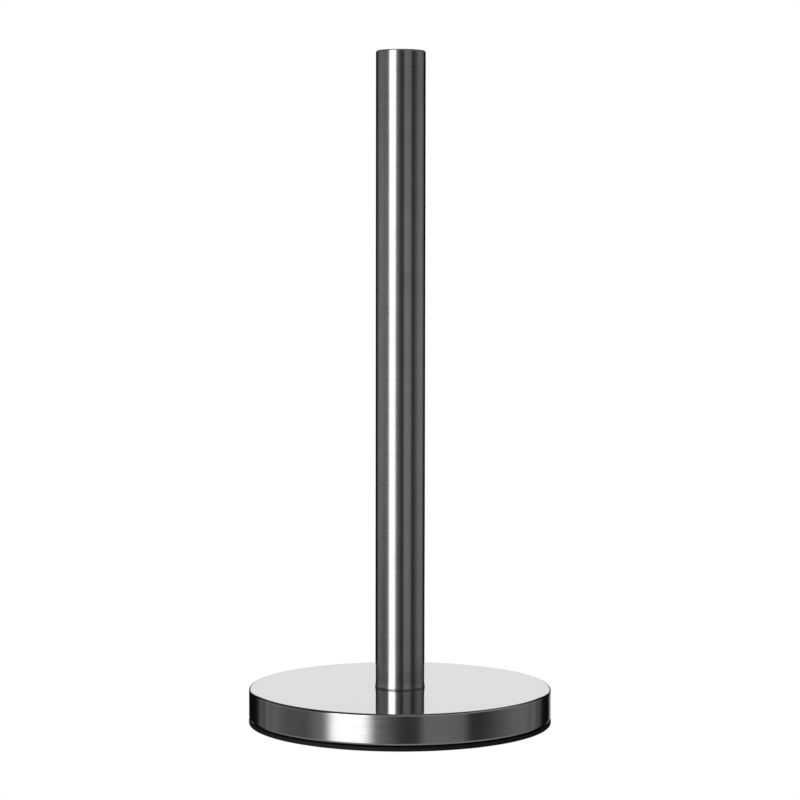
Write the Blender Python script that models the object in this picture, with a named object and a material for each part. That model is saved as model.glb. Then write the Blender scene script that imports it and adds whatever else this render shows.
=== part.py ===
"""Free-standing paper towel holder: a tube post that screws on to a weighted round base.

Frame: metres, +Z up. The origin is the centre of the underside, so the table is at z = 0.
Every sub-part is one object. The base, the foot washer and the post each hang from an empty on the
post's axis: turning the post one turn anticlockwise, seen from above, lifts it by one thread pitch.
"""

import math

import bmesh
import bpy
from mathutils import Matrix, Vector

MM = 0.001

# Driving dimensions.
BASE_RADIUS = 76.6 * MM
BASE_TOP_Z = 18.0 * MM
POST_RADIUS = 12.5 * MM
POST_WALL = 0.8 * MM
POST_HEIGHT = 321.2 * MM  # from the base's top face to the top of the tube
CROWN = 0.6 * MM  # how far the cap rises in the middle
GAP = 0.3 * MM  # between pieces that touch on the real object
FOOT_GAP = 0.1 * MM  # above and below the foot washer
PRESS_GAP = 0.15 * MM  # around a piece pressed into the tube
THREAD_PITCH = 1.25 * MM  # M8 coarse

# Base shell: a cup drawn from sheet, turned over.
SHEET = 0.6 * MM
RIM_RADIUS = 1.3 * MM
LIP_RADIUS = 1.7 * MM
LIP_Z = 2.3 * MM
LIP_MOUTH_RADIUS = 74.7 * MM
STUD_HOLE_RADIUS = 4.4 * MM
ROLL_SEAT_RADIUS = 13.2 * MM  # where the flat part of the top face starts
CLAMPED_DIP = 0.05 * MM  # how far the jam nut draws the sheet down around the stud

# Bottom plate and anti-slip ring.
PLATE_RADIUS = 73.0 * MM
PLATE_Z = 2.0 * MM
PLATE_THICKNESS = 0.8 * MM
RING_RADIUS = 76.7 * MM
RING_MOUTH_RADIUS = 71.0 * MM
RING_NECK_RADIUS = 74.4 * MM
RING_LIP_HEIGHT = 0.8 * MM
RING_EDGE_RADIUS = 0.6 * MM
RING_SHOULDER_Z = 2.1 * MM

# Ballast.
BALLAST_RADIUS = 74.4 * MM
BALLAST_THICKNESS = 9.0 * MM
BALLAST_CHAMFER = 0.5 * MM
HUB_RADIUS = 12.0 * MM
BOSS_RADIUS = 5.0 * MM
BOSS_CIRCLE_RADIUS = 48.0 * MM
BOSS_ANGLES = [math.radians(90 + 120 * i) for i in range(3)]
PILOT_RADIUS = 1.9 * MM
PILOT_DEPTH = 9.0 * MM
POCKET_ACROSS_FLATS = 13.6 * MM

# M8 x 25 stud bolt and what is on it.
HEX_ACROSS_FLATS = 13.0 * MM
BOLT_HEAD_HEIGHT = 5.3 * MM
BOLT_LENGTH = 25.0 * MM
STUD_HEIGHT = 16.0 * MM  # above the base's top face
SHANK_RADIUS = 4.0 * MM
THREAD_MAJOR = 3.95 * MM
THREAD_MINOR = 3.25 * MM
THREAD_CLEARANCE = 0.15 * MM  # radial, between male and female
TIP_CHAMFER = 0.8 * MM
WASHER_HOLE_RADIUS = 4.35 * MM
SPRING_WASHER_RADIUS = 6.4 * MM
SPRING_WASHER_THICKNESS = 2.0 * MM
SPRING_WASHER_SLIT = 1.0 * MM
JAM_WASHER_RADIUS = 8.0 * MM
JAM_WASHER_THICKNESS = 1.6 * MM
JAM_NUT_HEIGHT = 4.0 * MM

# Post tube.
TUBE_TOP_ROUNDING = 0.75 * MM
TUBE_FOOT_FLARE = 0.2 * MM
TUBE_FLARE_HEIGHT = 4.0 * MM

# Foot washer.
FOOT_WASHER_RADIUS = 12.8 * MM
FOOT_WASHER_HOLE_RADIUS = 8.8 * MM
FOOT_WASHER_THICKNESS = 0.4 * MM
FOOT_COLLAR_THICKNESS = 0.5 * MM
FOOT_COLLAR_HEIGHT = 2.4 * MM

# Threaded insert, in the foot of the tube.
INSERT_HEIGHT = 11.0 * MM
INSERT_CHAMFER = 0.6 * MM

# Cap, pressed into the top of the tube.
CAP_EDGE_RADIUS = 0.3 * MM
CAP_THICKNESS = 1.5 * MM
CAP_SKIRT_LENGTH = 10.0 * MM
CAP_SKIRT_WALL = 1.0 * MM

# Plate screws.
SCREW_HEAD_RADIUS = 3.5 * MM
SCREW_HEAD_HEIGHT = 1.3 * MM
SCREW_SHAFT_RADIUS = 1.6 * MM
SCREW_LENGTH = 8.0 * MM
RECESS_LENGTH = 3.6 * MM
RECESS_WIDTH = 0.8 * MM
RECESS_DEPTH = 0.7 * MM

# Faces around each kind of turned piece.
BASE_SEGMENTS = 72
POST_SEGMENTS = 48
SMALL_SEGMENTS = 24
THREAD_SEGMENTS = 18

# Levels worked out from the above.
PLATE_TOP_Z = PLATE_Z + PLATE_THICKNESS
SHELL_INNER_Z = BASE_TOP_Z - SHEET
BALLAST_TOP_Z = SHELL_INNER_Z - GAP
BALLAST_Z = BALLAST_TOP_Z - BALLAST_THICKNESS
BOSS_Z = PLATE_TOP_Z + GAP
STUD_TIP_Z = BASE_TOP_Z + STUD_HEIGHT
BOLT_SEAT_Z = STUD_TIP_Z - BOLT_LENGTH
SPRING_WASHER_Z = BOLT_SEAT_Z + GAP
POCKET_TOP_Z = SPRING_WASHER_Z + SPRING_WASHER_THICKNESS + GAP
JAM_WASHER_Z = BASE_TOP_Z + GAP
JAM_NUT_Z = JAM_WASHER_Z + JAM_WASHER_THICKNESS + GAP
INSERT_Z = JAM_NUT_Z + JAM_NUT_HEIGHT + GAP
FOOT_WASHER_Z = BASE_TOP_Z + FOOT_GAP
TUBE_Z = FOOT_WASHER_Z + FOOT_WASHER_THICKNESS + FOOT_GAP
TUBE_TOP_Z = BASE_TOP_Z + POST_HEIGHT
TUBE_BORE_RADIUS = POST_RADIUS - POST_WALL


def clear_scene():
    for obj in list(bpy.data.objects):
        bpy.data.objects.remove(obj)


def metal(name, colour, roughness, metallic=1.0):
    """A Principled material; the colour is linear RGB."""
    material = bpy.data.materials.new(name)
    material.use_nodes = True
    shader = material.node_tree.nodes["Principled BSDF"]
    shader.inputs["Base Color"].default_value = (*colour, 1.0)
    shader.inputs["Roughness"].default_value = roughness
    shader.inputs["Metallic"].default_value = metallic
    material.diffuse_color = (*colour, 1.0)
    return material


def object_from(name, bm, parent=None, material=None):
    """Makes the bmesh an object, with smooth faces and sharp edges where it turns by over 35 degrees."""
    bmesh.ops.recalc_face_normals(bm, faces=bm.faces)
    mesh = bpy.data.meshes.new(name)
    bm.to_mesh(mesh)
    bm.free()
    mesh.shade_smooth()
    mesh.set_sharp_from_angle(angle=math.radians(35))
    obj = bpy.data.objects.new(name, mesh)
    bpy.context.scene.collection.objects.link(obj)
    obj.parent = parent
    if material:
        mesh.materials.append(material)
    return obj


def helper(obj):
    """Marks a shape that only cuts, or is joined into, another one."""
    obj.hide_render = True
    obj.display_type = "WIRE"
    return obj


def boolean(obj, operation, other):
    modifier = obj.modifiers.new(f"{operation.title()} {other.name}", "BOOLEAN")
    modifier.operation = operation
    modifier.solver = "EXACT"
    modifier.object = other


def arc(centre, radius, start, end, steps):
    """Points of an arc in the (radius, height) plane, angles in degrees, both ends included."""
    angles = [math.radians(start + (end - start) * i / steps) for i in range(steps + 1)]
    return [(centre[0] + radius * math.cos(a), centre[1] + radius * math.sin(a)) for a in angles]


def turned(outline, segments):
    """A closed outline of (radius, height) points spun about the Z axis."""
    bm = bmesh.new()
    points = [bm.verts.new((radius, 0.0, height)) for radius, height in outline]
    edges = [bm.edges.new((a, b)) for a, b in zip(points, points[1:] + points[:1])]
    # An edge along the axis would spin into faces of no area.
    on_axis = [e for e in edges if all(v.co.x == 0.0 for v in e.verts)]
    bmesh.ops.delete(bm, geom=on_axis, context="EDGES")
    bmesh.ops.spin(
        bm,
        geom=bm.verts[:] + bm.edges[:],
        cent=(0.0, 0.0, 0.0),
        axis=(0.0, 0.0, 1.0),
        angle=2 * math.pi,
        steps=segments,
        use_merge=True,
    )
    bmesh.ops.remove_doubles(bm, verts=bm.verts, dist=0.0001 * MM)
    return bm


def prism(sides, radius, low, high):
    """An upright prism with its corners on a circle; many sides make a cylinder."""
    bm = bmesh.new()
    bmesh.ops.create_cone(
        bm,
        cap_ends=True,
        segments=sides,
        radius1=radius,
        radius2=radius,
        depth=high - low,
        matrix=Matrix.Translation((0.0, 0.0, (low + high) / 2)),
    )
    return bm


def hexagon(across_flats, low, high):
    return prism(6, across_flats / math.sqrt(3), low, high)


def cross(length, width, low, high):
    """An upright prism with the outline of a plus sign."""
    bm = bmesh.new()
    half, arm = length / 2, width / 2
    quarter = [(half, -arm), (half, arm), (arm, arm)]
    corners = []
    for turn in range(4):
        rotation = Matrix.Rotation(turn * math.pi / 2, 2)
        corners += [rotation @ Vector(corner) for corner in quarter]
    base = bm.faces.new([bm.verts.new((x, y, low)) for x, y in corners])
    raised = bmesh.ops.extrude_face_region(bm, geom=[base])
    top = [v for v in raised["geom"] if isinstance(v, bmesh.types.BMVert)]
    bmesh.ops.translate(bm, verts=top, vec=(0.0, 0.0, high - low))
    return bm


def box(size, centre):
    bm = bmesh.new()
    bmesh.ops.create_cube(bm, size=1.0, matrix=Matrix.Translation(centre) @ Matrix.Diagonal((*size, 1.0)))
    return bm


def thread_profile(clearance):
    """One pitch of an ISO thread as (height, radius) corners: root flat, flank, crest flat, flank."""
    flank = (THREAD_MAJOR - THREAD_MINOR) * math.tan(math.radians(30))
    crest = THREAD_PITCH / 8
    root = THREAD_PITCH - crest - 2 * flank
    minor = THREAD_MINOR + clearance
    major = THREAD_MAJOR + clearance
    return [(0.0, minor), (root, minor), (root + flank, major), (root + flank + crest, major)]


def threaded_rod(low, high, clearance=0.0, tip_chamfer=0.0):
    """A right-hand threaded rod between two heights.

    The rows of corners climb one pitch per turn, so each row joins the row one pitch further on
    where a turn closes. Rods of any length share one phase, so male and female threads mesh.
    """
    profile = thread_profile(clearance)
    first_turn = math.floor(low / THREAD_PITCH) - 2
    last_turn = math.ceil(high / THREAD_PITCH) + 1
    rows = [
        (turn * THREAD_PITCH + height, radius)
        for turn in range(first_turn, last_turn + 1)
        for height, radius in profile
    ]
    bm = bmesh.new()
    columns = []
    for i in range(THREAD_SEGMENTS):
        share = i / THREAD_SEGMENTS
        angle = 2 * math.pi * share
        column = []
        for row_height, row_radius in rows:
            height = row_height + THREAD_PITCH * share
            radius = row_radius
            if tip_chamfer:
                radius = min(radius, THREAD_MAJOR + clearance - tip_chamfer + max(high - height, 0.0))
            column.append(bm.verts.new((radius * math.cos(angle), radius * math.sin(angle), height)))
        columns.append(column)
    for i, column in enumerate(columns):
        closes = i == THREAD_SEGMENTS - 1
        neighbour = columns[0][len(profile) :] if closes else columns[i + 1]
        for (a, b), (c, d) in zip(zip(column, column[1:]), zip(neighbour, neighbour[1:])):
            bm.faces.new((a, c, d, b))
    for height, direction in ((low, -1.0), (high, 1.0)):
        geometry = bm.verts[:] + bm.edges[:] + bm.faces[:]
        cut = bmesh.ops.bisect_plane(
            bm,
            geom=geometry,
            plane_co=(0.0, 0.0, height),
            plane_no=(0.0, 0.0, direction),
            clear_outer=True,
        )
        edges = [e for e in cut["geom_cut"] if isinstance(e, bmesh.types.BMEdge)]
        bmesh.ops.contextual_create(bm, geom=edges)
    return bm


def make_base_shell(parent, material):
    side_centre = BASE_RADIUS - RIM_RADIUS
    lip_centre = BASE_RADIUS - LIP_RADIUS
    outline = [(STUD_HOLE_RADIUS, BASE_TOP_Z - CLAMPED_DIP), (ROLL_SEAT_RADIUS, BASE_TOP_Z)]
    outline += arc((side_centre, BASE_TOP_Z - RIM_RADIUS), RIM_RADIUS, 90, 0, 3)
    outline += arc((lip_centre, LIP_Z + LIP_RADIUS), LIP_RADIUS, 0, -90, 4)
    outline += [(LIP_MOUTH_RADIUS, LIP_Z), (LIP_MOUTH_RADIUS, LIP_Z + SHEET)]
    outline += arc((lip_centre, LIP_Z + LIP_RADIUS), LIP_RADIUS - SHEET, -90, 0, 2)
    outline += arc((side_centre, BASE_TOP_Z - RIM_RADIUS), RIM_RADIUS - SHEET, 0, 90, 2)
    outline += [(ROLL_SEAT_RADIUS, SHELL_INNER_Z), (STUD_HOLE_RADIUS, SHELL_INNER_Z - CLAMPED_DIP)]
    return object_from("base_shell", turned(outline, BASE_SEGMENTS), parent, material)


def make_ballast(parent, material):
    """An iron disc, with a hub around the bolt's head and a boss for each plate screw."""
    c = BALLAST_CHAMFER
    outline = [
        (STUD_HOLE_RADIUS, BALLAST_TOP_Z),
        (BALLAST_RADIUS - c, BALLAST_TOP_Z),
        (BALLAST_RADIUS, BALLAST_TOP_Z - c),
        (BALLAST_RADIUS, BALLAST_Z + c),
        (BALLAST_RADIUS - c, BALLAST_Z),
        (HUB_RADIUS, BALLAST_Z),
        (HUB_RADIUS, BOSS_Z),
        (STUD_HOLE_RADIUS, BOSS_Z),
    ]
    ballast = object_from("ballast_disc", turned(outline, BASE_SEGMENTS), parent, material)
    pocket = hexagon(POCKET_ACROSS_FLATS, BOSS_Z - MM, POCKET_TOP_Z)
    boolean(ballast, "DIFFERENCE", helper(object_from("pocket_cutter", pocket, parent)))
    inside_disc = BALLAST_Z + BALLAST_THICKNESS / 2
    for number, place in enumerate(screw_places(), 1):
        boss = prism(SMALL_SEGMENTS, BOSS_RADIUS, BOSS_Z, inside_disc)
        boss = helper(object_from(f"boss_{number}", boss, parent))
        boss.location = place
        boolean(ballast, "UNION", boss)
    for number, place in enumerate(screw_places(), 1):
        pilot = prism(SMALL_SEGMENTS // 2, PILOT_RADIUS, BOSS_Z - MM, BOSS_Z + PILOT_DEPTH)
        pilot = helper(object_from(f"pilot_{number}", pilot, parent))
        pilot.location = place
        boolean(ballast, "DIFFERENCE", pilot)
    return ballast


def screw_places():
    circle = BOSS_CIRCLE_RADIUS
    return [Vector((circle * math.cos(a), circle * math.sin(a), 0.0)) for a in BOSS_ANGLES]


def make_stud_bolt(parent, material):
    """The head and plain shank of the bolt, joined to its thread."""
    head = hexagon(HEX_ACROSS_FLATS, BOLT_SEAT_Z - BOLT_HEAD_HEIGHT, BOLT_SEAT_Z)
    bolt = object_from("stud_bolt", head, parent, material)
    inside_head = BOLT_SEAT_Z - BOLT_HEAD_HEIGHT / 2
    thread_start = SHELL_INNER_Z
    shank = prism(SMALL_SEGMENTS, SHANK_RADIUS, inside_head, thread_start)
    boolean(bolt, "UNION", helper(object_from("shank", shank, parent)))
    thread = threaded_rod(thread_start - MM, STUD_TIP_Z, tip_chamfer=TIP_CHAMFER)
    boolean(bolt, "UNION", helper(object_from("stud_thread", thread, parent)))
    return bolt


def flat_washer(inner, outer, low, thickness):
    outline = [(inner, low), (inner, low + thickness), (outer, low + thickness), (outer, low)]
    return turned(outline, SMALL_SEGMENTS)


def make_spring_washer(parent, material):
    shape = flat_washer(WASHER_HOLE_RADIUS, SPRING_WASHER_RADIUS, SPRING_WASHER_Z, SPRING_WASHER_THICKNESS)
    washer = object_from("stud_spring_washer", shape, parent, material)
    middle = Vector((SPRING_WASHER_RADIUS, 0.0, SPRING_WASHER_Z + SPRING_WASHER_THICKNESS / 2))
    slit = box((SPRING_WASHER_RADIUS, SPRING_WASHER_SLIT, SPRING_WASHER_THICKNESS * 2), middle)
    boolean(washer, "DIFFERENCE", helper(object_from("washer_slit", slit, parent)))
    return washer


def make_jam_washer(parent, material):
    shape = flat_washer(WASHER_HOLE_RADIUS, JAM_WASHER_RADIUS, JAM_WASHER_Z, JAM_WASHER_THICKNESS)
    return object_from("jam_washer", shape, parent, material)


def make_jam_nut(parent, material):
    top = JAM_NUT_Z + JAM_NUT_HEIGHT
    nut = object_from("jam_nut", hexagon(HEX_ACROSS_FLATS, JAM_NUT_Z, top), parent, material)
    thread = threaded_rod(JAM_NUT_Z - MM, top + MM, THREAD_CLEARANCE)
    boolean(nut, "DIFFERENCE", helper(object_from("nut_thread_cutter", thread, parent)))
    return nut


def make_bottom_plate(parent, material):
    """A sheet disc with a clearance hole for each screw."""
    disc = prism(BASE_SEGMENTS, PLATE_RADIUS, PLATE_Z, PLATE_TOP_Z)
    plate = object_from("bottom_plate", disc, parent, material)
    for number, place in enumerate(screw_places(), 1):
        hole = prism(SMALL_SEGMENTS // 2, SCREW_SHAFT_RADIUS + GAP, PLATE_Z - MM, PLATE_TOP_Z + MM)
        hole = helper(object_from(f"plate_hole_{number}", hole, parent))
        hole.location = place
        boolean(plate, "DIFFERENCE", hole)
    return plate


def make_anti_slip_ring(parent, material):
    """A rubber ring whose inner groove grips the plate's edge and whose neck sits in the shell's mouth."""
    groove_radius = PLATE_RADIUS + GAP
    top = PLATE_TOP_Z + GAP + RING_LIP_HEIGHT
    edge = RING_EDGE_RADIUS
    outline = [(RING_MOUTH_RADIUS, 0.0)]
    outline += arc((RING_RADIUS - edge, edge), edge, -90, 0, 3)
    outline += [
        (RING_RADIUS, RING_SHOULDER_Z),
        (RING_NECK_RADIUS, RING_SHOULDER_Z),
        (RING_NECK_RADIUS, top),
        (RING_MOUTH_RADIUS, top),
        (RING_MOUTH_RADIUS, PLATE_TOP_Z + GAP),
        (groove_radius, PLATE_TOP_Z + GAP),
        (groove_radius, PLATE_Z - GAP),
        (RING_MOUTH_RADIUS, PLATE_Z - GAP),
    ]
    return object_from("anti_slip_ring", turned(outline, BASE_SEGMENTS), parent, material)


def make_plate_screws(parent, material):
    """Pan-head screws, driven up through the plate into the ballast's bosses."""
    seat = PLATE_Z - GAP
    low = seat - SCREW_HEAD_HEIGHT
    tip = seat + SCREW_LENGTH
    shaft = SCREW_SHAFT_RADIUS
    outline = [(0.0, low), (0.6 * SCREW_HEAD_RADIUS, low)]
    outline += [(SCREW_HEAD_RADIUS, low + 0.6 * SCREW_HEAD_HEIGHT), (SCREW_HEAD_RADIUS, seat)]
    outline += [(shaft, seat), (shaft, tip - shaft), (0.3 * shaft, tip), (0.0, tip)]
    for number, place in enumerate(screw_places(), 1):
        shape = turned(outline, SMALL_SEGMENTS // 2)
        screw = object_from(f"plate_screw_{number}", shape, parent, material)
        screw.location = place
        recess = cross(RECESS_LENGTH, RECESS_WIDTH, low - RECESS_DEPTH, low + RECESS_DEPTH)
        recess = helper(object_from(f"recess_{number}", recess, parent))
        recess.location = place
        boolean(screw, "DIFFERENCE", recess)


def make_foot_washer(parent, material):
    """A flat washer under the tube, with a collar that keeps it in the tube's bore."""
    top = FOOT_WASHER_Z + FOOT_WASHER_THICKNESS
    collar = TUBE_BORE_RADIUS - GAP
    outline = [
        (FOOT_WASHER_HOLE_RADIUS, FOOT_WASHER_Z),
        (FOOT_WASHER_RADIUS, FOOT_WASHER_Z),
        (FOOT_WASHER_RADIUS, top),
        (collar, top),
        (collar, top + FOOT_COLLAR_HEIGHT),
        (collar - FOOT_COLLAR_THICKNESS, top + FOOT_COLLAR_HEIGHT),
        (collar - FOOT_COLLAR_THICKNESS, top),
        (FOOT_WASHER_HOLE_RADIUS, top),
    ]
    return object_from("foot_washer", turned(outline, POST_SEGMENTS), parent, material)


def make_post_tube(parent, material):
    """A thin tube, its top edge rounded and its foot flared a little."""
    rounding = TUBE_TOP_ROUNDING
    outline = [(TUBE_BORE_RADIUS, TUBE_Z)]
    outline += [(POST_RADIUS + TUBE_FOOT_FLARE, TUBE_Z)]
    outline += [(POST_RADIUS + TUBE_FOOT_FLARE / 4, TUBE_Z + TUBE_FLARE_HEIGHT / 2)]
    outline += [(POST_RADIUS, TUBE_Z + TUBE_FLARE_HEIGHT)]
    outline += arc((POST_RADIUS - rounding, TUBE_TOP_Z - rounding), rounding, 0, 90, 3)
    outline += [(TUBE_BORE_RADIUS, TUBE_TOP_Z)]
    return object_from("post_tube", turned(outline, POST_SEGMENTS), parent, material)


def make_threaded_insert(parent, material):
    top = INSERT_Z + INSERT_HEIGHT
    plug = prism(POST_SEGMENTS, TUBE_BORE_RADIUS - PRESS_GAP, INSERT_Z, top)
    insert = object_from("threaded_insert", plug, parent, material)
    thread = threaded_rod(INSERT_Z - MM, top + MM, THREAD_CLEARANCE)
    boolean(insert, "DIFFERENCE", helper(object_from("insert_thread_cutter", thread, parent)))
    mouth = THREAD_MAJOR + THREAD_CLEARANCE + INSERT_CHAMFER / 2
    lead = [
        (0.0, INSERT_Z - MM),
        (0.0, INSERT_Z + INSERT_CHAMFER),
        (mouth - INSERT_CHAMFER, INSERT_Z + INSERT_CHAMFER),
        (mouth + MM, INSERT_Z - MM),
    ]
    cone = helper(object_from("lead_in_cutter", turned(lead, SMALL_SEGMENTS), parent))
    boolean(insert, "DIFFERENCE", cone)
    return insert


def make_post_cap(parent, material):
    """A crowned cap in the tube's top, with a skirt that grips the bore. Its edge is level with the tube's."""
    radius = TUBE_BORE_RADIUS - PRESS_GAP
    flat_radius = radius - CAP_EDGE_RADIUS
    skirt_radius = radius - CAP_SKIRT_WALL
    under_z = TUBE_TOP_Z - CAP_THICKNESS
    skirt_z = TUBE_TOP_Z - CAP_SKIRT_LENGTH
    crown_radius = (flat_radius**2 + CROWN**2) / (2 * CROWN)
    crown_edge = math.degrees(math.acos(flat_radius / crown_radius))
    outline = [(0.0, TUBE_TOP_Z + CROWN)]
    outline += arc((0.0, TUBE_TOP_Z + CROWN - crown_radius), crown_radius, 90, crown_edge, 4)[1:]
    outline += arc((flat_radius, TUBE_TOP_Z - CAP_EDGE_RADIUS), CAP_EDGE_RADIUS, 90, 0, 2)[1:]
    outline += [(radius, skirt_z), (skirt_radius, skirt_z), (skirt_radius, under_z), (0.0, under_z)]
    return object_from("post_cap", turned(outline, POST_SEGMENTS), parent, material)


def pivot(name, parent=None):
    """An empty on the post's axis, which carries one rigid group."""
    empty = bpy.data.objects.new(name, None)
    bpy.context.scene.collection.objects.link(empty)
    empty.parent = parent
    return empty


def main():
    clear_scene()
    brushed_steel = metal("brushed_steel", (0.50, 0.50, 0.50), 0.28)
    polished_steel = metal("polished_steel", (0.62, 0.62, 0.62), 0.08)
    iron = metal("painted_iron", (0.03, 0.03, 0.03), 0.65, metallic=0.0)
    zinc = metal("zinc_plate", (0.55, 0.56, 0.58), 0.35)
    rubber = metal("black_rubber", (0.012, 0.012, 0.012), 0.7, metallic=0.0)

    base = pivot("base")
    washer = pivot("washer", base)
    post = pivot("post", washer)

    make_base_shell(base, polished_steel)
    make_ballast(base, iron)
    make_stud_bolt(base, zinc)
    make_spring_washer(base, zinc)
    make_jam_washer(base, zinc)
    make_jam_nut(base, zinc)
    make_bottom_plate(base, zinc)
    make_anti_slip_ring(base, rubber)
    make_plate_screws(base, zinc)
    make_foot_washer(washer, brushed_steel)
    make_post_tube(post, brushed_steel)
    make_threaded_insert(post, zinc)
    make_post_cap(post, brushed_steel)


main()
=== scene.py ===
"""Looks of the paper towel holder: a brushed steel post on a weighted base with a polished top.

The pieces that show are lathed again here, finer than the CAD and with real edge rounding, and each
rides on its CAD body. The pieces shut inside the base and the tube keep their CAD mesh.
Frame: metres, +Z up, the post on the Z axis and the table at z = 0. The camera looks along +Y.
"""

import math

import bmesh
import bpy
from mathutils import Matrix, Vector

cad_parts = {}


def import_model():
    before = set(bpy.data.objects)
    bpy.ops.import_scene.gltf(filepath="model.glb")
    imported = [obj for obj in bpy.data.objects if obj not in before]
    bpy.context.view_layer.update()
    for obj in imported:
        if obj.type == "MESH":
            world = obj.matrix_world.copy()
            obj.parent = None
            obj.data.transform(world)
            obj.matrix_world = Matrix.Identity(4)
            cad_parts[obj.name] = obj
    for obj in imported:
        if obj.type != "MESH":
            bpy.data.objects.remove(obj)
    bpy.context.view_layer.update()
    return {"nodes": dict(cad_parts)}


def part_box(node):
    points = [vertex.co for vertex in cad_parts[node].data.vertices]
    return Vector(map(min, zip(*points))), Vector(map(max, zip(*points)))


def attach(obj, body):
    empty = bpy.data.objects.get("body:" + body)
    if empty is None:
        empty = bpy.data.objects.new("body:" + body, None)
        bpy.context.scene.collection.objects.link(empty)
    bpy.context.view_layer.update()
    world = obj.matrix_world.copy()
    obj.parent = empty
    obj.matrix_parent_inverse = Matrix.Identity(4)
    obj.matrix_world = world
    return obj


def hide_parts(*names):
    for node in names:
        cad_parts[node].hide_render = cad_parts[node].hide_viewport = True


MM = 0.001

# Camera.
CAMERA_DISTANCE = 1.24
CAMERA_RISE = 0.2193  # above the base's top face, and so below the post's top
CAMERA_PITCH = math.radians(3.385)  # below level
CAMERA_ROLL = math.radians(0.084)
CAMERA_LENS = 110.675  # millimetres, like the sensor's width
SENSOR_WIDTH = 36.0
CAMERA_SHIFT = -0.00072  # sideways, as a share of the picture's width
CAMERA_SEES_TO = 50.0

# Faces around a lathed piece, and steps in a rounded corner.
LARGE_SEGMENTS = 288
POST_SEGMENTS = 144
SMALL_SEGMENTS = 64
SMALL_CORNER_STEPS = 5
EDGE_STEPS = 6
RIM_STEPS = 12
FLAT_MARGIN = 0.03 * MM  # a flat stretch gets a ring this far from each rounded corner
SHARP_ANGLE = math.radians(35)  # an edge that turns by more than this stays sharp
WELD_DISTANCE = 0.0001 * MM
OVERLAP = 1.0 * MM  # cutters and joined pieces reach this far past where they meet the piece

# Base shell.
SHEET = 0.6 * MM
RIM_RADIUS = 1.3 * MM
LIP_RADIUS = 1.7 * MM
LIP_MOUTH = 1.9 * MM  # how far the lip reaches in from the side
LIP_EDGE_RADIUS = 0.12 * MM
POLISHED_TO = 0.7 * RIM_RADIUS  # the polish reaches this far down the rim
HOLE_EDGE_RADIUS = 0.15 * MM
CLAMPED_RADIUS = 13.2 * MM  # inside this the jam nut draws the sheet down a little
CLAMPED_DIP = 0.05 * MM
STUD_HOLE_RADIUS = 4.4 * MM

# Post.
TUBE_WALL = 0.8 * MM
TUBE_TOP_ROUNDING = 0.75 * MM
TUBE_FOOT_FLARE = 0.2 * MM
TUBE_FLARE_HEIGHT = 4.0 * MM
TUBE_FOOT_ROUNDING = 0.1 * MM
FLARE_STEPS = 12
CAP_EDGE_RADIUS = 0.3 * MM
CAP_THICKNESS = 1.5 * MM
CAP_SKIRT_WALL = 1.0 * MM
CROWN = 0.6 * MM
CROWN_STEPS = 16

# Foot washer.
WASHER_MARGIN = 0.06 * MM  # from the base and the tube
WASHER_EDGE_RADIUS = 0.08 * MM
WASHER_HOLE_RADIUS = 8.8 * MM
COLLAR_THICKNESS = 0.5 * MM
COLLAR_INSET = 0.3 * MM  # from the tube's bore
COLLAR_EDGE_RADIUS = 0.1 * MM

# Rubber ring.
RING_MOUTH_RADIUS = 71.0 * MM
RING_NECK_RADIUS = 74.4 * MM
RING_SHOULDER_Z = 2.1 * MM
RING_GROOVE_GAP = 0.3 * MM  # on each side of the plate's edge
RING_EDGE_RADIUS = 0.6 * MM
RING_LIP_RADIUS = 0.2 * MM
RING_CREASE_RADIUS = 0.1 * MM

# M8 stud, its nut and its washer.
PITCH = 1.25 * MM
THREAD_MAJOR = 3.95 * MM
THREAD_MINOR = 3.25 * MM
THREAD_CLEARANCE = 0.15 * MM
THREAD_FLANK_ANGLE = math.radians(30)
SHANK_RADIUS = 4.0 * MM
HEX_ACROSS_FLATS = 13.0 * MM
BOLT_HEAD_HEIGHT = 5.3 * MM
HEX_CHAMFER_ANGLE = math.radians(30)
HEX_CHAMFER_FROM = 0.95  # as a share of the radius to a flat
TIP_CHAMFER = 0.8 * MM
NUT_LEAD = 0.25 * MM  # the countersink is this much wider than the thread
THREAD_SEGMENTS = 48
FLAT_WASHER_HOLE_RADIUS = 4.35 * MM
FLAT_WASHER_BURR_RADIUS = 0.1 * MM
FLAT_WASHER_EDGE_RADIUS = 0.15 * MM
FLAT_WASHER_TOP_RADIUS = 0.3 * MM

# Plate and its screws.
PLATE_EDGE_RADIUS = 0.2 * MM
PLATE_CORNER_STEPS = 4
SCREW_CIRCLE_RADIUS = 48.0 * MM
SCREW_HEAD_HEIGHT = 1.3 * MM
SCREW_HEAD_RADIUS = 3.5 * MM
SCREW_FACE_RADIUS = 0.72 * SCREW_HEAD_RADIUS
SCREW_PAN_HEIGHT = 0.65 * SCREW_HEAD_HEIGHT  # the head is at its widest from here to its seat
SCREW_FACE_ROUNDING = 0.5 * MM
SCREW_PAN_ROUNDING = 0.3 * MM
SCREW_SEAT_ROUNDING = 0.1 * MM
SCREW_CORNER_STEPS = 6
SCREW_SHAFT_RADIUS = 1.6 * MM
SCREW_TIP_RADIUS = 0.3 * SCREW_SHAFT_RADIUS
SCREW_HOLE_RADIUS = 1.9 * MM
RECESS_LENGTH = 3.6 * MM
RECESS_WIDTH = 0.8 * MM
RECESS_DEPTH = 0.7 * MM
RECESS_OVERLAP = 0.1 * MM
RECESS_TAPER = 0.6  # its size at the bottom, as a share of its size at the mouth

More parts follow.
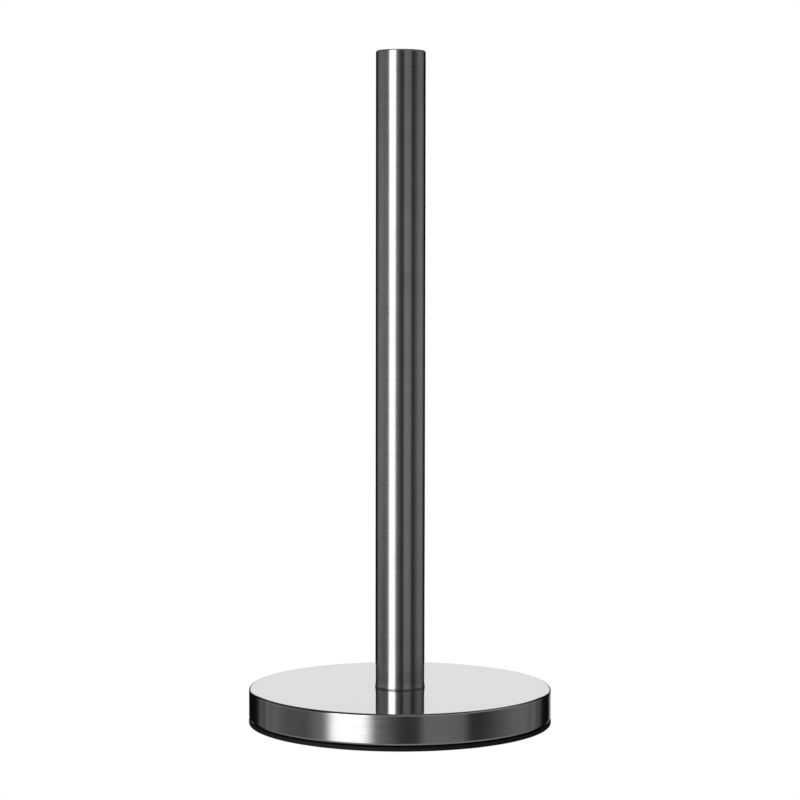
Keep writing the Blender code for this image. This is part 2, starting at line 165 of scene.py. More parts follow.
# Finishes.
STEEL_REFLECTANCE = 0.62
WASHER_PAINTED_SHADE_REFLECTANCE = 0.42  # painted shade: the washer is darker than the tube's steel to stand for the shadow in the gap at the post's foot
BRUSHED_ROUGHNESS = 0.175
STREAK_ROUGHNESS = 0.02  # the brushing varies the roughness by this either way
STREAK_TONE = 0.05  # and the reflectance by this
CLOUD_TONE = 0.035  # larger, softer patches vary the reflectance by this
BRUSHING_DEPTH = 0.001 * MM
ZINC_GRAIN_DEPTH = 0.004 * MM
CASTING_DEPTH = 0.15 * MM
RUBBER_GRAIN_DEPTH = 0.012 * MM
WHITE = (1.0, 1.0, 1.0, 1.0)

# Studio, as the steel reflects it. Azimuth is in degrees from the camera's side, positive to the
# camera's right, and elevation is in degrees above level. An edge is (place, softness), in degrees.
DARK_CORNER = 0.004
# The walls near eye level, as (azimuth, softness, brightness): from that azimuth on, that brightness.
WALLS = [
    (-135, 2, 0.15),  # left-hand wall, in panels
    (-126, 2, 0.08),
    (-123, 3, 0.255),
    (-117, 2, 0.15),
    (-113.5, 3, 0.24),
    (-95, 20, 0.225),
    (-80, 14, 0.19),
    (-67, 8, 0.23),  # the softbox's glow on both sides of it
    (-38, 10, 0.23),
    (-7, 22, 0.05),  # dark gap around the camera
    (16, 5, 0.25),  # right-hand reflector
    (40, 14, 0.215),
    (51.3, 6, 0.044),  # open doorway
    (80, 44, 0.235),  # right-hand wall, in panels
    (114, 2, 0.15),
    (118, 2, 0.24),
    (125, 2, 0.125),
    (135, 2, DARK_CORNER),
]
WALLS_TOP = (26, 6)
# The walls are brightest at eye level, and fade to a share of that over a range of elevation.
FADE_DOWN = (-12, -3)
FADE_DOWN_TO = 0.62
FADE_UP = (-1, 5)
FADE_UP_TO = 0.68
# A stretch of the left-hand wall is darker low down.
SHADED_PANEL = (-103, 12), (-71, 8)
SHADED_PANEL_TOP = (-6.5, 5)
SHADED_PANEL_SHARE = 0.6
# A pale strip stands low down past the right-hand flag.
STRIP_FROM = (161, 3)
STRIP_TOP = (-7, 3)
STRIP = 0.45
# Above the walls are the dark upper room, a paler ledge in front, and the ceiling.
UPPER_ROOM = 0.04
LEDGE_SIDES = (-62, 20), (120, 60)
LEDGE_TOP = (55, 10)
LEDGE = 0.30
CEILING_FROM = (75, 20)
CEILING = 0.15
# The softbox is brighter towards its top.
SOFTBOX_SIDES = (-54, 10), (-22.8, 10)
SOFTBOX_TOP = (33, 8)
SOFTBOX_RAMP = (0, 12)
SOFTBOX_LOW = 1.65
SOFTBOX_HIGH = 2.6
# Black flags stand at the back on both sides of the white backdrop, which also shows over them and,
# towards the middle, under them.
BACKDROP = 0.94
BACKDROP_FROM = (175.5, 1.5)
BACKDROP_FOOT = (7, 2)
BACKDROP_TOP = (30, 10)
OVER_FLAGS_FROM = (157, 6)
OVER_FLAGS_FOOT = (6.5, 2)
OVER_FLAGS_TOP = (20, 4)
UNDER_FLAGS_FROM = (160, 4)
UNDER_FLAGS_TOP = (-15, 3)
# The ground is dark at the back, in front of the flags.
GROUND = 0.25
GROUND_TOP = (-24, 8)
DARK_GROUND_FROM = (137, 6)

# Floor.
FLOOR_SIZE = 8.0
FLOOR_Z = -0.1 * MM


# Mesh building ------------------------------------------------------------------------------------


def arc(centre, radius, start, end, steps):
    """Points of an arc in the (radius, height) plane, angles in degrees, both ends included."""
    angles = [math.radians(start + (end - start) * i / steps) for i in range(steps + 1)]
    return [(centre[0] + radius * math.cos(a), centre[1] + radius * math.sin(a)) for a in angles]


def rounded(corners, steps):
    """A closed outline from (radius, height, rounding) corners, with an arc in place of a rounded one.

    Next to each arc the straight stretch gets one more point, so that smooth shading stays in the arc.
    """
    outline = []
    count = len(corners)
    for i, (x, y, rounding) in enumerate(corners):
        here = Vector((x, y))
        if rounding == 0.0:
            outline.append((x, y))
            continue
        before = (Vector(corners[i - 1][:2]) - here).normalized()
        after = (Vector(corners[(i + 1) % count][:2]) - here).normalized()
        half = before.angle(after) / 2
        reach = rounding / math.tan(half)
        centre = here + (before + after).normalized() * (rounding / math.sin(half))
        first = here + before * reach - centre
        last = here + after * reach - centre
        turn = first.angle_signed(last)
        outline.append(tuple(here + before * (reach + FLAT_MARGIN)))
        for step in range(steps + 1):
            spoke = first.copy()
            spoke.rotate(Matrix.Rotation(-turn * step / steps, 2))
            outline.append(tuple(centre + spoke))
        outline.append(tuple(here + after * (reach + FLAT_MARGIN)))
    return outline


def object_from(name, bm):
    """Makes an object of a closed bmesh, with its faces turned outwards."""
    bmesh.ops.recalc_face_normals(bm, faces=bm.faces)
    mesh = bpy.data.meshes.new(name)
    bm.to_mesh(mesh)
    bm.free()
    obj = bpy.data.objects.new(name, mesh)
    bpy.context.scene.collection.objects.link(obj)
    return obj


def shade(obj):
    """Smooth faces, with the sharp edges kept."""
    obj.data.shade_smooth()
    obj.data.set_sharp_from_angle(angle=SHARP_ANGLE)


def turned(name, outline, segments):
    """A closed outline of (radius, height) points spun about the Z axis."""
    bm = bmesh.new()
    points = [bm.verts.new((radius, 0.0, height)) for radius, height in outline]
    edges = [bm.edges.new((a, b)) for a, b in zip(points, points[1:] + points[:1])]
    # An edge along the axis would spin into faces of no area.
    on_axis = [e for e in edges if all(v.co.x == 0.0 for v in e.verts)]
    bmesh.ops.delete(bm, geom=on_axis, context="EDGES")
    bmesh.ops.spin(
        bm,
        geom=bm.verts[:] + bm.edges[:],
        cent=(0.0, 0.0, 0.0),
        axis=(0.0, 0.0, 1.0),
        angle=2 * math.pi,
        steps=segments,
        use_merge=True,
    )
    bmesh.ops.remove_doubles(bm, verts=bm.verts, dist=WELD_DISTANCE)
    return object_from(name, bm)


def prism(name, sides, radius, low, high):
    """An upright prism with its corners on a circle; many sides make a cylinder."""
    bm = bmesh.new()
    bmesh.ops.create_cone(
        bm,
        cap_ends=True,
        segments=sides,
        radius1=radius,
        radius2=radius,
        depth=high - low,
        matrix=Matrix.Translation((0.0, 0.0, (low + high) / 2)),
    )
    return object_from(name, bm)


def cross(name, length, width, low, high):
    """An upright prism with the outline of a plus sign, narrowing upwards like a screw's recess."""
    bm = bmesh.new()
    half, arm = length / 2, width / 2
    corners = []
    for turn in range(4):
        rotation = Matrix.Rotation(turn * math.pi / 2, 2)
        corners += [rotation @ Vector(corner) for corner in [(half, -arm), (half, arm), (arm, arm)]]
    base = bm.faces.new([bm.verts.new((x, y, low)) for x, y in corners])
    raised = bmesh.ops.extrude_face_region(bm, geom=[base])
    top = [v for v in raised["geom"] if isinstance(v, bmesh.types.BMVert)]
    bmesh.ops.translate(bm, verts=top, vec=(0.0, 0.0, high - low))
    bmesh.ops.scale(bm, verts=top, vec=(RECESS_TAPER, RECESS_TAPER, 1.0))
    return object_from(name, bm)


def combine(obj, operation, other):
    """Joins, cuts or intersects the object with another one, which is used up."""
    modifier = obj.modifiers.new("combine", "BOOLEAN")
    modifier.operation = operation
    modifier.solver = "EXACT"
    modifier.object = other
    bpy.context.view_layer.update()
    evaluated = obj.evaluated_get(bpy.context.evaluated_depsgraph_get())
    mesh = bpy.data.meshes.new_from_object(evaluated)
    obj.modifiers.clear()
    obj.data = mesh
    bpy.data.objects.remove(other)
    return obj


def threaded_rod(name, low, high, clearance=0.0, tip_chamfer=0.0):
    """A right-hand threaded rod between two heights, in the CAD thread's phase.

    The surface is a helical sheet of rows, one profile a turn, that is cut flat at both heights.
    """
    flank = (THREAD_MAJOR - THREAD_MINOR) * math.tan(THREAD_FLANK_ANGLE)
    crest = PITCH / 8
    root = PITCH - crest - 2 * flank
    minor, major = THREAD_MINOR + clearance, THREAD_MAJOR + clearance
    profile = [(0.0, minor), (root, minor), (root + flank, major), (root + flank + crest, major)]
    turns = range(math.floor(low / PITCH) - 2, math.ceil(high / PITCH) + 2)
    rows = [(turn * PITCH + height, radius) for turn in turns for height, radius in profile]
    bm = bmesh.new()
    columns = []
    for i in range(THREAD_SEGMENTS):
        share = i / THREAD_SEGMENTS
        angle = 2 * math.pi * share
        column = []
        for row_height, row_radius in rows:
            height = row_height + PITCH * share
            radius = row_radius
            if tip_chamfer:
                radius = min(radius, major - tip_chamfer + max(high - height, 0.0))
            column.append(bm.verts.new((radius * math.cos(angle), radius * math.sin(angle), height)))
        columns.append(column)
    for i, column in enumerate(columns):
        closes = i == THREAD_SEGMENTS - 1
        neighbour = columns[0][len(profile) :] if closes else columns[i + 1]
        for (a, b), (c, d) in zip(zip(column, column[1:]), zip(neighbour, neighbour[1:])):
            bm.faces.new((a, c, d, b))
    for height, direction in ((low, -1.0), (high, 1.0)):
        cut = bmesh.ops.bisect_plane(
            bm,
            geom=bm.verts[:] + bm.edges[:] + bm.faces[:],
            plane_co=(0.0, 0.0, height),
            plane_no=(0.0, 0.0, direction),
            clear_outer=True,
        )
        edges = [e for e in cut["geom_cut"] if isinstance(e, bmesh.types.BMEdge)]
        bmesh.ops.contextual_create(bm, geom=edges)
    return object_from(name, bm)


def hexagon(name, low, high, chamfer_high=True):
    """A hexagon of bolt-head size whose corners are turned off below and, if asked, above."""
    corner = HEX_ACROSS_FLATS / math.sqrt(3)
    flat = HEX_CHAMFER_FROM * HEX_ACROSS_FLATS / 2
    drop = (corner - flat) * math.tan(HEX_CHAMFER_ANGLE)
    outline = [(0.0, low), (flat, low), (corner, low + drop)]
    outline += [(corner, high - drop), (flat, high)] if chamfer_high else [(corner, high)]
    outline += [(0.0, high)]
    cone = turned(f"{name}_cone", outline, THREAD_SEGMENTS)
    return combine(prism(name, 6, corner, low, high), "INTERSECT", cone)


# Materials ----------------------------------------------------------------------------------------


class Tree:
    """A node tree with short calls to add nodes and wire them up."""

    def __init__(self, owner):
        owner.use_nodes = True
        self.tree = owner.node_tree

    def node(self, kind, inputs=None, **settings):
        """Adds a node. An input's value is a number, a colour, or another node's output to link."""
        made = self.tree.nodes.new(kind)
        for key, value in settings.items():
            setattr(made, key, value)
        for key, value in (inputs or {}).items():
            self.feed(made.inputs[key], value)
        return made

    def feed(self, socket, value):
        if isinstance(value, bpy.types.NodeSocket):
            self.tree.links.new(value, socket)
        else:
            socket.default_value = value

    def math(self, operation, *values):
        return self.node("ShaderNodeMath", dict(enumerate(values)), operation=operation).outputs[0]

    def span(self, value, low, high, new_low=0.0, new_high=1.0, shape="LINEAR"):
        """Maps low..high to new_low..new_high and holds the ends."""
        inputs = {"Value": value, "From Min": low, "From Max": high}
        inputs |= {"To Min": new_low, "To Max": new_high}
        return self.node("ShaderNodeMapRange", inputs, interpolation_type=shape).outputs["Result"]

    def stretched(self, scale):
        """Object coordinates, in metres, scaled along each axis."""
        place = self.node("ShaderNodeTexCoord").outputs["Object"]
        return self.node("ShaderNodeMapping", {"Vector": place, "Scale": scale}).outputs["Vector"]

    def noise(self, scale, detail, roughness=0.5):
        """A noise of 0 to 1; scale is features per metre along each axis."""
        inputs = {"Vector": self.stretched(scale), "Scale": 1.0}
        inputs |= {"Detail": detail, "Roughness": roughness}
        return self.node("ShaderNodeTexNoise", inputs).outputs["Fac"]

    def grey(self, value):
        channels = {"Red": value, "Green": value, "Blue": value}
        return self.node("ShaderNodeCombineColor", channels).outputs["Color"]

    def bump(self, height, distance):
        inputs = {"Height": height, "Distance": distance, "Strength": 1.0}
        return self.node("ShaderNodeBump", inputs).outputs["Normal"]


def principled(name):
    """A material with its tree and its Principled BSDF."""
    material = bpy.data.materials.new(name)
    tree = Tree(material)
    return material, tree, tree.tree.nodes["Principled BSDF"]


def brushed_steel(name, reflectance):
    """Satin steel brushed round the Z axis: it blurs a reflection upwards more than sideways."""
    material, tree, shader = principled(name)
    streak = tree.noise((50.0, 50.0, 2500.0), detail=4.0, roughness=0.65)
    cloud = tree.noise((90.0, 90.0, 60.0), detail=4.0, roughness=0.6)
    streak_tone = tree.span(streak, 0.3, 0.7, -STREAK_TONE, STREAK_TONE)
    cloud_tone = tree.span(cloud, 0.3, 0.7, -CLOUD_TONE, CLOUD_TONE)
    tone = tree.math("ADD", streak_tone, cloud_tone)
    tree.feed(shader.inputs["Base Color"], tree.grey(tree.math("ADD", tone, reflectance)))
    smoothest, roughest = BRUSHED_ROUGHNESS - STREAK_ROUGHNESS, BRUSHED_ROUGHNESS + STREAK_ROUGHNESS
    tree.feed(shader.inputs["Roughness"], tree.span(streak, 0.25, 0.75, smoothest, roughest))
    tree.feed(shader.inputs["Normal"], tree.bump(streak, BRUSHING_DEPTH))
    shader.inputs["Metallic"].default_value = 1.0
    shader.inputs["Anisotropic"].default_value = 0.4
    shader.inputs["Anisotropic Rotation"].default_value = 0.25
    around = tree.node("ShaderNodeTangent", direction_type="RADIAL", axis="Z").outputs["Tangent"]
    tree.feed(shader.inputs["Tangent"], around)
    return material


def polished_steel(name):
    """Mirror-polished steel with the faint haze and the hairlines that polishing leaves."""
    material, tree, shader = principled(name)
    haze = tree.noise((35.0, 35.0, 35.0), detail=4.0)
    hairline = tree.noise((2500.0, 120.0, 120.0), detail=2.0)
    tree.feed(shader.inputs["Base Color"], tree.grey(tree.span(haze, 0.3, 0.7, 0.635, 0.655)))
    haze_blur = tree.span(haze, 0.3, 0.7, 0.035, 0.06)
    hairline_blur = tree.span(hairline, 0.55, 0.8, 0.0, 0.03)
    tree.feed(shader.inputs["Roughness"], tree.math("ADD", haze_blur, hairline_blur))
    shader.inputs["Metallic"].default_value = 1.0
    return material


def zinc_plate(name):
    """Bright zinc plating: a cool grey, a little cloudy."""
    material, tree, shader = principled(name)
    cloud = tree.noise((220.0, 220.0, 220.0), detail=4.0)
    grain = tree.noise((3000.0, 3000.0, 3000.0), detail=2.0)
    tone = tree.span(cloud, 0.3, 0.7, 0.50, 0.60)
    green = tree.math("MULTIPLY", tone, 1.01)
    blue = tree.math("MULTIPLY", tone, 1.04)
    channels = {"Red": tone, "Green": green, "Blue": blue}
    tree.feed(shader.inputs["Base Color"], tree.node("ShaderNodeCombineColor", channels).outputs["Color"])
    tree.feed(shader.inputs["Roughness"], tree.span(cloud, 0.3, 0.7, 0.38, 0.26))
    tree.feed(shader.inputs["Normal"], tree.bump(grain, ZINC_GRAIN_DEPTH))
    shader.inputs["Metallic"].default_value = 1.0
    return material


def painted_iron(name):
    """A rough iron casting dipped in thin black paint."""
    material, tree, shader = principled(name)
    lump = tree.noise((500.0, 500.0, 500.0), detail=5.0, roughness=0.6)
    worn = tree.noise((60.0, 60.0, 60.0), detail=4.0)
    tree.feed(shader.inputs["Base Color"], tree.grey(tree.span(worn, 0.35, 0.75, 0.018, 0.045)))
    tree.feed(shader.inputs["Roughness"], tree.span(lump, 0.3, 0.7, 0.5, 0.75))
    tree.feed(shader.inputs["Normal"], tree.bump(lump, CASTING_DEPTH))
    return material


def black_rubber(name):
    """Moulded rubber: nearly black, matt, with a fine grain and paler dust on it."""
    material, tree, shader = principled(name)
    grain = tree.noise((4500.0, 4500.0, 4500.0), detail=2.0)
    dust = tree.noise((160.0, 160.0, 420.0), detail=5.0, roughness=0.65)
    tree.feed(shader.inputs["Base Color"], tree.grey(tree.span(dust, 0.45, 0.8, 0.010, 0.020)))
    tree.feed(shader.inputs["Roughness"], tree.span(dust, 0.3, 0.7, 0.55, 0.75))
    tree.feed(shader.inputs["Normal"], tree.bump(grain, RUBBER_GRAIN_DEPTH))
    shader.inputs["Specular IOR Level"].default_value = 0.35
    return material


def paint(obj, *materials):
    """Gives the object these materials and no others."""
    obj.data.materials.clear()
    for material in materials:
        obj.data.materials.append(material)


# Pieces -------------------------------------------------------------------------------------------


def radius_of(node):
    """A CAD piece's outer radius; the piece has to be centred on the Z axis."""
    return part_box(node)[1].x


def low_of(node):
    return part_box(node)[0].z


def high_of(node):
    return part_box(node)[1].z


def stand_for(obj, node, body, slot, *materials):
    """Finishes a piece: shading, materials, and its place in the frame."""
    shade(obj)
    paint(obj, *materials)
    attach(obj, body)
    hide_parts(node)


def make_shell(top_finish, side_finish):
    """The drawn cup: polished on top and round most of its rim, brushed below and inside."""
    radius = radius_of("base_shell")
    top, lip = high_of("base_shell"), low_of("base_shell")
    inner = radius - SHEET
    mouth = radius - LIP_MOUTH
    # The hole's edge, the flat top, the rim, the lip, and then back along the inside.
    outline = rounded(
        [
            (STUD_HOLE_RADIUS, top - CLAMPED_DIP, HOLE_EDGE_RADIUS),
            (CLAMPED_RADIUS, top, 0.0),
            (radius, top, RIM_RADIUS),
            (radius, lip, LIP_RADIUS),
            (mouth, lip, LIP_EDGE_RADIUS),
            (mouth, lip + SHEET, LIP_EDGE_RADIUS),
            (inner, lip + SHEET, LIP_RADIUS - SHEET),
            (inner, top - SHEET, RIM_RADIUS - SHEET),
            (CLAMPED_RADIUS, top - SHEET, 0.0),
            (STUD_HOLE_RADIUS, top - SHEET - CLAMPED_DIP, HOLE_EDGE_RADIUS),
        ],
        steps=RIM_STEPS,
    )
    shell = turned("steel_shell", outline, LARGE_SEGMENTS)
    stand_for(shell, "base_shell", "base", "polished_steel", top_finish, side_finish)
    for face in shell.data.polygons:
        if face.center.z < top - POLISHED_TO:
            face.material_index = 1


def make_ring(finish):
    """The rubber ring, with a groove that grips the plate's edge."""
    radius = radius_of("anti_slip_ring")
    top = high_of("anti_slip_ring")
    groove = radius_of("bottom_plate") + RING_GROOVE_GAP
    plate_low = low_of("bottom_plate") - RING_GROOVE_GAP
    plate_high = high_of("bottom_plate") + RING_GROOVE_GAP
    outline = rounded(
        [
            (RING_MOUTH_RADIUS, 0.0, RING_EDGE_RADIUS / 2),
            (radius, 0.0, RING_EDGE_RADIUS),
            (radius, RING_SHOULDER_Z, RING_EDGE_RADIUS / 3),
            (RING_NECK_RADIUS, RING_SHOULDER_Z, RING_CREASE_RADIUS),
            (RING_NECK_RADIUS, top, RING_LIP_RADIUS),
            (RING_MOUTH_RADIUS, top, RING_LIP_RADIUS),
            (RING_MOUTH_RADIUS, plate_high, RING_CREASE_RADIUS),
            (groove, plate_high, RING_CREASE_RADIUS),
            (groove, plate_low, RING_CREASE_RADIUS),
            (RING_MOUTH_RADIUS, plate_low, RING_LIP_RADIUS),
        ],
        steps=SMALL_CORNER_STEPS,
    )
    ring = turned("rubber_ring", outline, LARGE_SEGMENTS)
    stand_for(ring, "anti_slip_ring", "base", "black_rubber", finish)


def screw_places():
    """Where the three plate screws stand, the first one on the +Y side."""
    first = Vector((0.0, SCREW_CIRCLE_RADIUS, 0.0))
    return [Matrix.Rotation(math.radians(120 * i), 3, "Z") @ first for i in range(3)]


def make_plate(finish):
    """The cover of the underside, with a hole for each screw."""
    radius = radius_of("bottom_plate")
    low, high = low_of("bottom_plate"), high_of("bottom_plate")
    edge = PLATE_EDGE_RADIUS
    corners = [(0.0, low, 0.0), (radius, low, edge), (radius, high, edge), (0.0, high, 0.0)]
    plate = turned("under_plate", rounded(corners, PLATE_CORNER_STEPS), LARGE_SEGMENTS)
    ends = (low - OVERLAP, high + OVERLAP)
    for number, place in enumerate(screw_places(), 1):
        hole = prism(f"plate_hole_{number}", SMALL_SEGMENTS, SCREW_HOLE_RADIUS, *ends)
        hole.location = place
        combine(plate, "DIFFERENCE", hole)
    stand_for(plate, "bottom_plate", "base", "zinc_steel", finish)


def make_screws(finish):
    """Pan-head cross-recess screws, head down."""
    low = low_of("plate_screw_1")
    tip = high_of("plate_screw_1")
    seat = low + SCREW_HEAD_HEIGHT
    head, shaft = SCREW_HEAD_RADIUS, SCREW_SHAFT_RADIUS
    outline = rounded(
        [
            (0.0, low, 0.0),
            (SCREW_FACE_RADIUS, low, SCREW_FACE_ROUNDING),
            (head, low + SCREW_PAN_HEIGHT, SCREW_PAN_ROUNDING),
            (head, seat, SCREW_SEAT_ROUNDING),
            (shaft, seat, 0.0),
            (shaft, tip - shaft, 0.0),
            (SCREW_TIP_RADIUS, tip, 0.0),
            (0.0, tip, 0.0),
        ],
        steps=SCREW_CORNER_STEPS,
    )
    ends = (low - RECESS_OVERLAP, low + RECESS_DEPTH)
    for number, place in enumerate(screw_places(), 1):
        screw = turned(f"pan_screw_{number}", outline, SMALL_SEGMENTS)
        recess = cross(f"recess_{number}", RECESS_LENGTH, RECESS_WIDTH, *ends)
        combine(screw, "DIFFERENCE", recess)
        screw.data.transform(Matrix.Translation(place))
        stand_for(screw, f"plate_screw_{number}", "base", "zinc_steel", finish)


def make_tube(finish):
    """The post's tube, a little swollen at its foot and rounded at its top."""
    foot, top = low_of("post_tube"), high_of("post_tube")
    flared = radius_of("post_tube")
    radius = flared - TUBE_FOOT_FLARE
    bore = radius - TUBE_WALL
    rounding = TUBE_FOOT_ROUNDING
    # The foot swells over its last few millimetres, then turns in at a small round edge.
    flare = []
    for i in range(FLARE_STEPS + 1):
        share = i / FLARE_STEPS
        height = foot + rounding + (TUBE_FLARE_HEIGHT - rounding) * share
        flare.append((radius + TUBE_FOOT_FLARE * (1 - share) ** 2, height))
    foot_edge = arc((flared - rounding, foot + rounding), rounding, -90, 0, EDGE_STEPS)
    centre = (radius - TUBE_TOP_ROUNDING, top - TUBE_TOP_ROUNDING)
    top_edge = arc(centre, TUBE_TOP_ROUNDING, 0, 90, RIM_STEPS)
    outline = [(bore, foot)] + foot_edge + flare[1:]
    outline += [(radius, top - TUBE_TOP_ROUNDING - FLAT_MARGIN)] + top_edge + [(bore, top)]
    tube = turned("steel_tube", outline, POST_SEGMENTS)
    stand_for(tube, "post_tube", "post", "brushed_steel", finish)


def make_cap(finish):
    """The end cap: a slightly domed face, and a skirt inside the tube."""
    radius = radius_of("post_cap")
    skirt, top = low_of("post_cap"), high_of("post_cap")
    edge_z = top - CROWN
    flat = radius - CAP_EDGE_RADIUS
    crown_radius = (flat**2 + CROWN**2) / (2 * CROWN)
    crown_edge = math.degrees(math.acos(flat / crown_radius))
    crown = arc((0.0, top - crown_radius), crown_radius, 90, crown_edge, CROWN_STEPS)
    outline = [(0.0, top)] + crown[1:]
    outline += arc((flat, edge_z - CAP_EDGE_RADIUS), CAP_EDGE_RADIUS, 90, 0, EDGE_STEPS)[1:]
    under = high_of("post_tube") - CAP_THICKNESS
    bore = radius - CAP_SKIRT_WALL
    outline += [(radius, skirt), (bore, skirt), (bore, under), (0.0, under)]
    cap = turned("end_cap", outline, POST_SEGMENTS)
    stand_for(cap, "post_cap", "post", "brushed_steel", finish)


def make_foot_washer(finish):
    """The washer between tube and base, with a collar that stands in the tube's bore."""
    radius = radius_of("foot_washer")
    low = high_of("base_shell") + WASHER_MARGIN
    flange = low_of("post_tube") - WASHER_MARGIN
    top = high_of("foot_washer")
    collar = radius_of("post_tube") - TUBE_FOOT_FLARE - TUBE_WALL - COLLAR_INSET
    edge = WASHER_EDGE_RADIUS
    outline = rounded(
        [
            (WASHER_HOLE_RADIUS, low, edge),
            (radius, low, edge),
            (radius, flange, edge),
            (collar, flange, 0.0),
            (collar, top, COLLAR_EDGE_RADIUS),
            (collar - COLLAR_THICKNESS, top, COLLAR_EDGE_RADIUS),
            (collar - COLLAR_THICKNESS, flange, 0.0),
            (WASHER_HOLE_RADIUS, flange, edge),
        ],
        steps=SMALL_CORNER_STEPS,
    )
    washer = turned("foot_ring", outline, POST_SEGMENTS)
    stand_for(washer, "foot_washer", "washer", "brushed_steel", finish)


def make_stud(finish):
    """The bolt whose head is held in the ballast and whose thread stands up out of the base."""
    low, tip = low_of("stud_bolt"), high_of("stud_bolt")
    seat = low + BOLT_HEAD_HEIGHT
    thread_low = high_of("base_shell") - SHEET
    stud = hexagon("hex_stud", low, seat, chamfer_high=False)
    shank = prism("shank", SMALL_SEGMENTS, SHANK_RADIUS, seat - BOLT_HEAD_HEIGHT / 2, thread_low)
    combine(stud, "UNION", shank)
    thread = threaded_rod("thread", thread_low - OVERLAP, tip, tip_chamfer=TIP_CHAMFER)
    combine(stud, "UNION", thread)
    stand_for(stud, "stud_bolt", "base", "zinc_steel", finish)


def make_nut(finish):
    """The thin nut on the stud, threaded and countersunk on both faces."""
    low, high = low_of("jam_nut"), high_of("jam_nut")
    nut = hexagon("hex_nut", low, high)
    lead = THREAD_MAJOR + THREAD_CLEARANCE + NUT_LEAD
    for name, face, out in (("low_lead", low, -1.0), ("high_lead", high, 1.0)):
        rim = face + out * OVERLAP
        cone = [(0.0, rim), (lead + OVERLAP, rim), (0.0, face - out * lead)]
        combine(nut, "DIFFERENCE", turned(name, cone, THREAD_SEGMENTS))
    thread = threaded_rod("nut_thread", low - OVERLAP, high + OVERLAP, THREAD_CLEARANCE)
    combine(nut, "DIFFERENCE", thread)
    stand_for(nut, "jam_nut", "base", "zinc_steel", finish)


def make_flat_washer(finish):
    """The punched washer under the nut, its edges rounder on top than below."""
    radius = radius_of("jam_washer")
    low, high = low_of("jam_washer"), high_of("jam_washer")
    hole = FLAT_WASHER_HOLE_RADIUS
    outline = rounded(
        [
            (hole, low, FLAT_WASHER_BURR_RADIUS),
            (radius, low, FLAT_WASHER_EDGE_RADIUS),
            (radius, high, FLAT_WASHER_TOP_RADIUS),
            (hole, high, FLAT_WASHER_EDGE_RADIUS),
        ],
        steps=SMALL_CORNER_STEPS,
    )
    washer = turned("flat_washer", outline, SMALL_SEGMENTS)
    stand_for(washer, "jam_washer", "base", "zinc_steel", finish)


# Studio -------------------------------------------------------------------------------------------


class Studio(Tree):
    """The world's node tree, with the directions that the studio is laid out in."""

    def __init__(self, world):
        super().__init__(world)
        direction = self.node("ShaderNodeTexCoord").outputs["Generated"]
        x, y, z = self.node("ShaderNodeSeparateXYZ", {"Vector": direction}).outputs
        toward_camera = self.times(y, -1.0)
        self.azimuth = self.math("DEGREES", self.math("ARCTAN2", x, toward_camera))
        self.elevation = self.math("DEGREES", self.math("ARCSINE", z))
        self.away = self.math("ABSOLUTE", self.azimuth)

    def times(self, value, other):
        return self.math("MULTIPLY", value, other)

    def lay_over(self, below, brightness, share):
        """Brightness where share is 1, what is below it where share is 0."""
        rest = self.math("SUBTRACT", 1.0, share)
        return self.math("ADD", self.times(below, rest), self.times(brightness, share))

    def past(self, value, edge):
        """0 before the edge and 1 after it."""
        place, softness = edge
        return self.span(value, place - softness / 2, place + softness / 2, shape="SMOOTHSTEP")

    def above(self, edge):
        return self.past(self.elevation, edge)

    def under(self, edge):
        return self.math("SUBTRACT", 1.0, self.above(edge))

    def between(self, sides):
        """1 between two edges in azimuth."""
        left, right = sides
        return self.math("SUBTRACT", self.past(self.azimuth, left), self.past(self.azimuth, right))


def walls_of(studio):
    """The walls near eye level, with the shaded panel and the pale strip."""
    walls = DARK_CORNER
    for place, softness, brightness in WALLS:
        walls = studio.lay_over(walls, brightness, studio.past(studio.azimuth, (place, softness)))
    walls = studio.times(walls, studio.span(studio.elevation, *FADE_DOWN, FADE_DOWN_TO, 1.0))
    walls = studio.times(walls, studio.span(studio.elevation, *FADE_UP, 1.0, FADE_UP_TO))
    panel = studio.times(studio.between(SHADED_PANEL), studio.under(SHADED_PANEL_TOP))
    walls = studio.lay_over(walls, studio.times(walls, SHADED_PANEL_SHARE), panel)
    strip = studio.times(studio.past(studio.azimuth, STRIP_FROM), studio.under(STRIP_TOP))
    return studio.lay_over(walls, STRIP, strip)


def upper_room_of(studio):
    """What stands above the walls: the dark upper room, the ledge and the ceiling."""
    ledge = studio.times(studio.between(LEDGE_SIDES), studio.under(LEDGE_TOP))
    room = studio.lay_over(UPPER_ROOM, LEDGE, ledge)
    return studio.lay_over(room, CEILING, studio.above(CEILING_FROM))


def backdrop_of(studio):
    """Where the white backdrop shows, between the black flags and over them."""
    backdrop = studio.times(studio.past(studio.away, BACKDROP_FROM), studio.under(BACKDROP_TOP))
    backdrop = studio.times(backdrop, studio.above(BACKDROP_FOOT))
    over_flags = studio.times(studio.past(studio.away, OVER_FLAGS_FROM), studio.under(OVER_FLAGS_TOP))
    over_flags = studio.times(over_flags, studio.above(OVER_FLAGS_FOOT))
    return studio.math("MAXIMUM", backdrop, over_flags)


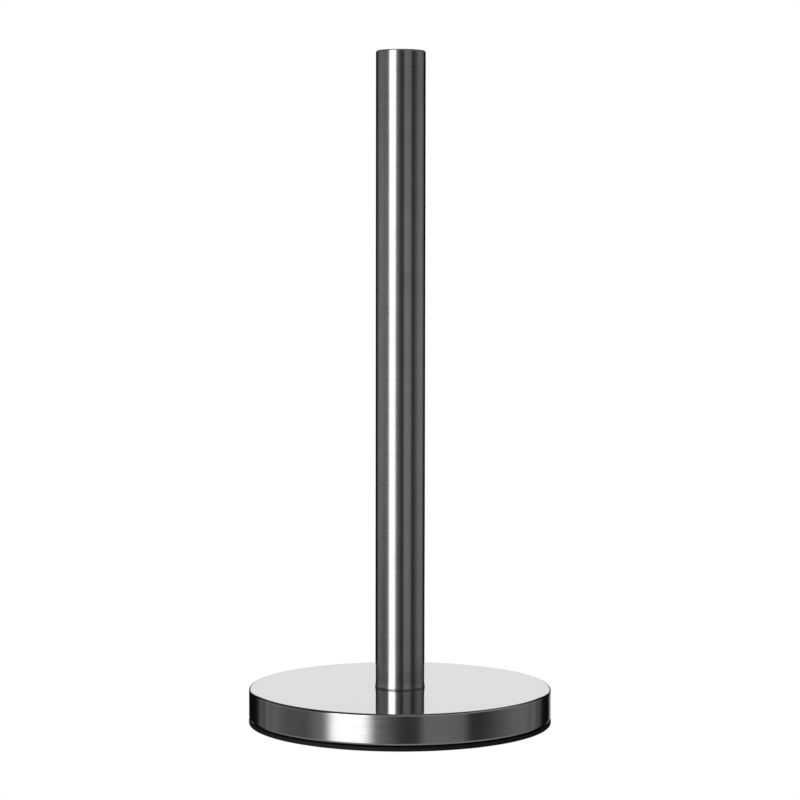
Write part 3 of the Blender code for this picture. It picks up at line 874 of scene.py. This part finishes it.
def make_world():
    """The studio that the steel reflects. The camera itself sees plain white behind the holder."""
    world = bpy.data.worlds.new("studio")
    bpy.context.scene.world = world
    studio = Studio(world)
    light = studio.lay_over(walls_of(studio), upper_room_of(studio), studio.above(WALLS_TOP))
    softbox = studio.times(studio.between(SOFTBOX_SIDES), studio.under(SOFTBOX_TOP))
    softbox_light = studio.span(studio.elevation, *SOFTBOX_RAMP, SOFTBOX_LOW, SOFTBOX_HIGH)
    light = studio.lay_over(light, softbox_light, softbox)
    light = studio.lay_over(light, BACKDROP, backdrop_of(studio))

    ground = studio.lay_over(GROUND, DARK_CORNER, studio.past(studio.away, DARK_GROUND_FROM))
    light = studio.lay_over(ground, light, studio.above(GROUND_TOP))
    under_flags = studio.times(studio.past(studio.away, UNDER_FLAGS_FROM), studio.under(UNDER_FLAGS_TOP))
    light = studio.lay_over(light, BACKDROP, under_flags)

    seen = studio.node("ShaderNodeLightPath").outputs["Is Camera Ray"]
    background = studio.tree.nodes["Background"]
    studio.feed(background.inputs["Color"], studio.grey(studio.lay_over(light, 1.0, seen)))


def make_floor():
    """A white floor that only the camera sees, and only from above; it takes no part in the light."""
    mesh = bpy.data.meshes.new("floor")
    half = FLOOR_SIZE / 2
    anticlockwise = [(-half, -half), (half, -half), (half, half), (-half, half)]  # so that it faces up
    mesh.from_pydata([(x, y, FLOOR_Z) for x, y in anticlockwise], [], [(0, 1, 2, 3)])
    floor = bpy.data.objects.new("floor", mesh)
    bpy.context.scene.collection.objects.link(floor)
    material = bpy.data.materials.new("white_floor")
    tree = Tree(material)
    tree.tree.nodes.clear()
    white = tree.node("ShaderNodeEmission", {"Color": WHITE, "Strength": 1.0}).outputs[0]
    clear = tree.node("ShaderNodeBsdfTransparent").outputs[0]
    behind = tree.node("ShaderNodeNewGeometry").outputs["Backfacing"]
    surface = tree.node("ShaderNodeMixShader", {0: behind, 1: white, 2: clear}).outputs[0]
    tree.node("ShaderNodeOutputMaterial", {"Surface": surface})
    paint(floor, material)
    floor.visible_glossy = False
    floor.visible_diffuse = False
    floor.visible_shadow = False


def make_camera():
    """The camera in front of the holder, almost level, part of the way up the post."""
    data = bpy.data.cameras.new("camera")
    data.sensor_width = SENSOR_WIDTH
    data.lens = CAMERA_LENS
    data.shift_x = CAMERA_SHIFT
    data.clip_end = CAMERA_SEES_TO
    camera = bpy.data.objects.new("camera", data)
    bpy.context.scene.collection.objects.link(camera)
    camera.location = (0.0, -CAMERA_DISTANCE, high_of("base_shell") + CAMERA_RISE)
    camera.rotation_euler = (math.pi / 2 - CAMERA_PITCH, -CAMERA_ROLL, 0.0)
    bpy.context.scene.camera = camera


def main():
    """Builds the pieces round the frame, then the studio, the floor and the camera."""
    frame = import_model()

    tube_finish = brushed_steel("brushed_tube", STEEL_REFLECTANCE)
    band_finish = brushed_steel("brushed_band", STEEL_REFLECTANCE)
    # The foot washer's steel is darkened: painted shade for the shadow gap at the post's foot.
    shade_darkened_washer_finish = brushed_steel("shade_darkened_washer", WASHER_PAINTED_SHADE_REFLECTANCE)
    top_finish = polished_steel("polished_top")
    zinc = zinc_plate("zinc_plate")
    iron = painted_iron("painted_iron")
    rubber = black_rubber("black_rubber")

    make_shell(top_finish, band_finish)
    make_ring(rubber)
    make_plate(zinc)
    make_screws(zinc)
    make_tube(tube_finish)
    make_cap(tube_finish)
    make_foot_washer(shade_darkened_washer_finish)
    make_stud(zinc)
    make_nut(zinc)
    make_flat_washer(zinc)
    for node, finish in (("ballast_disc", iron), ("stud_spring_washer", zinc), ("threaded_insert", zinc)):
        paint(frame["nodes"][node], finish)

    make_world()
    make_floor()
    make_camera()
    bpy.context.scene.view_settings.view_transform = "Standard"


main()
